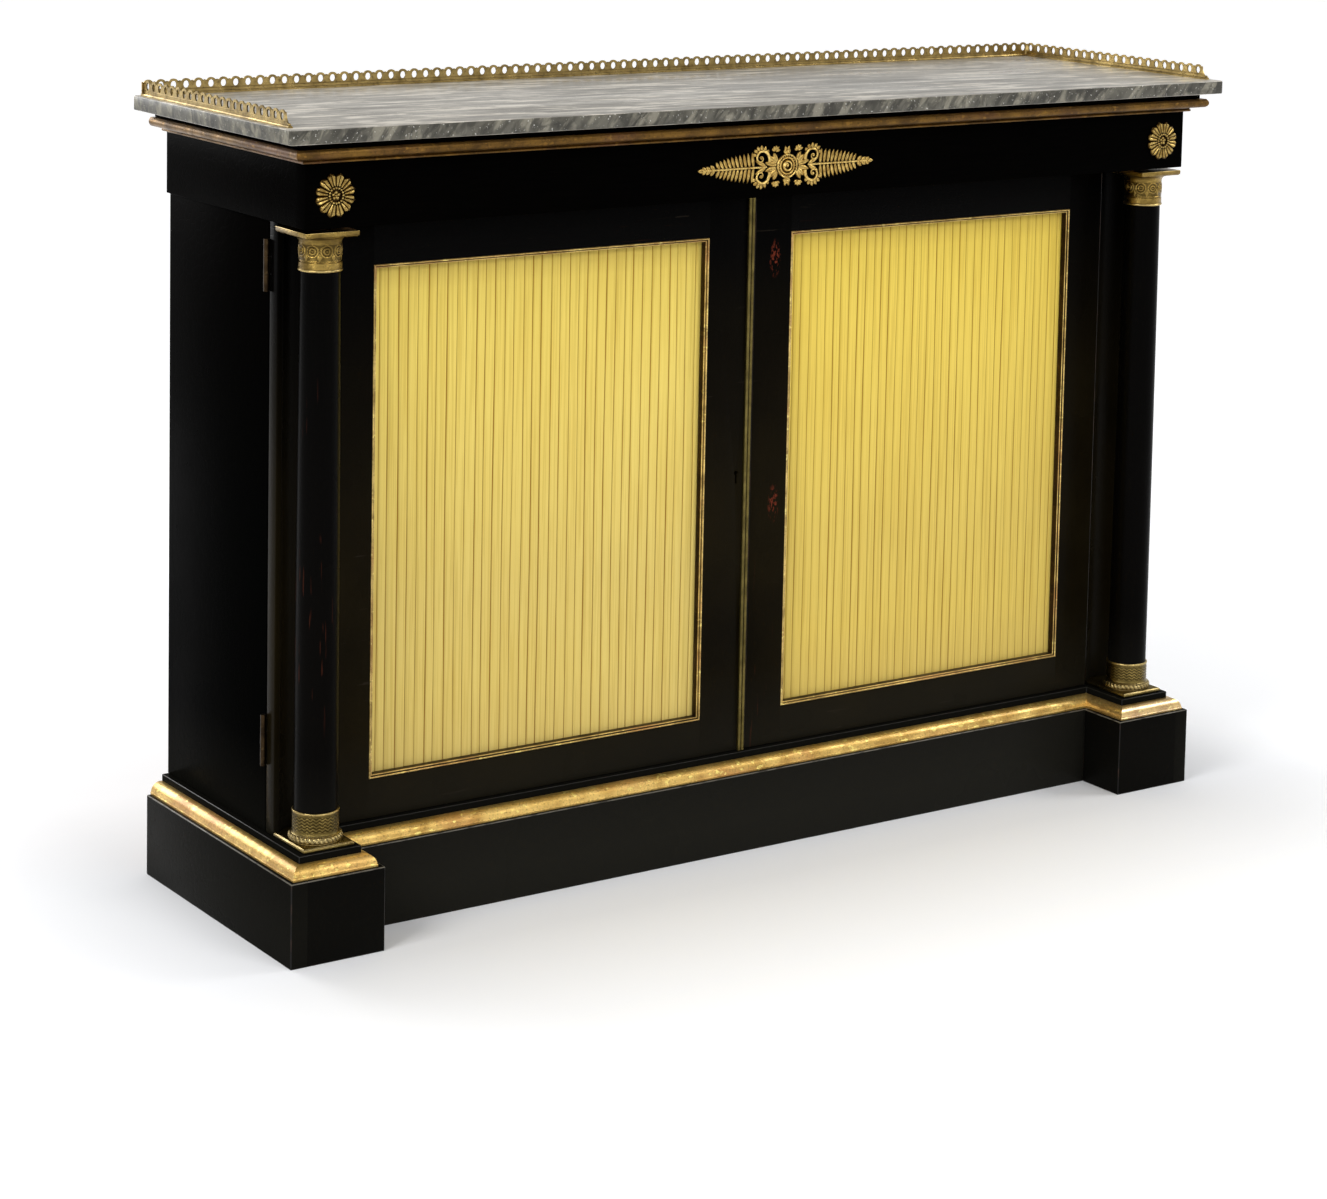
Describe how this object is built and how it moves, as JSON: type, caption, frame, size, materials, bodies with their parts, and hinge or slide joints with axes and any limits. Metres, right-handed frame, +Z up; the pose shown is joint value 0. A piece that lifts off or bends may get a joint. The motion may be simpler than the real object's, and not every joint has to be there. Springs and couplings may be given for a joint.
{
  "type": "side cabinet",
  "caption": "Low side cabinet with a marble top, pierced brass gallery, pleated silk doors and a turned column on each door, over a breakfront plinth.",
  "frame": {"origin": "on the floor, under the middle of the marble top", "axes": "+X along the front to the right of someone facing it, +Y from the front to the back, +Z up"},
  "size_m": [1.338, 0.389, 0.9385],
  "materials": {
    "ebonised_wood": "ebonised and polished, satin",
    "plain_wood": "plain softwood, darkened with age",
    "gilt_wood": "water gilt, worn to the red ground",
    "brass": "aged brass, satin",
    "ormolu": "chased and fire gilt, dulled",
    "marble": "grey marble with pale and dark streaks, polished",
    "silk": "yellow silk in flat pleats",
    "lock_iron": "dark iron"
  },
  "bodies": {
    "carcase": {"carcase_back": "plain_wood", "carcase_bottom": "plain_wood", "carcase_hinges": "brass", "carcase_side_left": "ebonised_wood", "carcase_side_right": "ebonised_wood", "carcase_top": "plain_wood", "centre_mount": "ormolu", "frieze_front": "ebonised_wood", "frieze_side_left": "ebonised_wood", "frieze_side_right": "ebonised_wood", "gallery_back": "brass", "gallery_left": "brass", "gallery_right": "brass", "marble_top": "marble", "pedestal_moulding_left": "gilt_wood", "pedestal_moulding_right": "gilt_wood", "plinth_back": "plain_wood", "plinth_deck": "ebonised_wood", "plinth_front": "ebonised_wood", "plinth_moulding_front": "gilt_wood", "plinth_moulding_left": "gilt_wood", "plinth_moulding_right": "gilt_wood", "plinth_pedestal_left": "ebonised_wood", "plinth_pedestal_right": "ebonised_wood", "plinth_side_left": "ebonised_wood", "plinth_side_right": "ebonised_wood", "rosettes": "ormolu", "shelf": "plain_wood", "shelf_bearer_left": "plain_wood", "shelf_bearer_right": "plain_wood", "top_board": "ebonised_wood", "top_moulding_front": "gilt_wood", "top_moulding_left": "gilt_wood", "top_moulding_right": "gilt_wood"},
    "left_door": {"astragal": "brass", "left_base_and_capital": "ormolu", "left_column": "ebonised_wood", "left_door_hinges": "brass", "left_rail_bottom": "ebonised_wood", "left_rail_top": "ebonised_wood", "left_silk": "silk", "left_silk_board": "plain_wood", "left_slip": "gilt_wood", "left_stile_inner": "ebonised_wood", "left_stile_outer": "ebonised_wood", "lock_case": "lock_iron"},
    "right_door": {"right_base_and_capital": "ormolu", "right_column": "ebonised_wood", "right_door_hinges": "brass", "right_rail_bottom": "ebonised_wood", "right_rail_top": "ebonised_wood", "right_silk": "silk", "right_silk_board": "plain_wood", "right_slip": "gilt_wood", "right_stile_inner": "ebonised_wood", "right_stile_outer": "ebonised_wood"},
    "lock_bolt": {"lock_bolt": "lock_iron"}
  },
  "joints": [
    {"name": "left_door_hinge", "type": "hinge", "parent": "carcase", "child": "left_door", "pos_m": [-0.6321, -0.0696, 0.118], "axis": [0, 0, -1], "range_deg": [0, 160]},
    {"name": "right_door_hinge", "type": "hinge", "parent": "carcase", "child": "right_door", "pos_m": [0.6321, -0.0696, 0.118], "axis": [0, 0, 1], "range_deg": [0, 160]},
    {"name": "lock_bolt_slide", "type": "slide", "parent": "left_door", "child": "lock_bolt", "axis": [1, 0, 0], "range_m": [0, 0.008]}
  ]
}
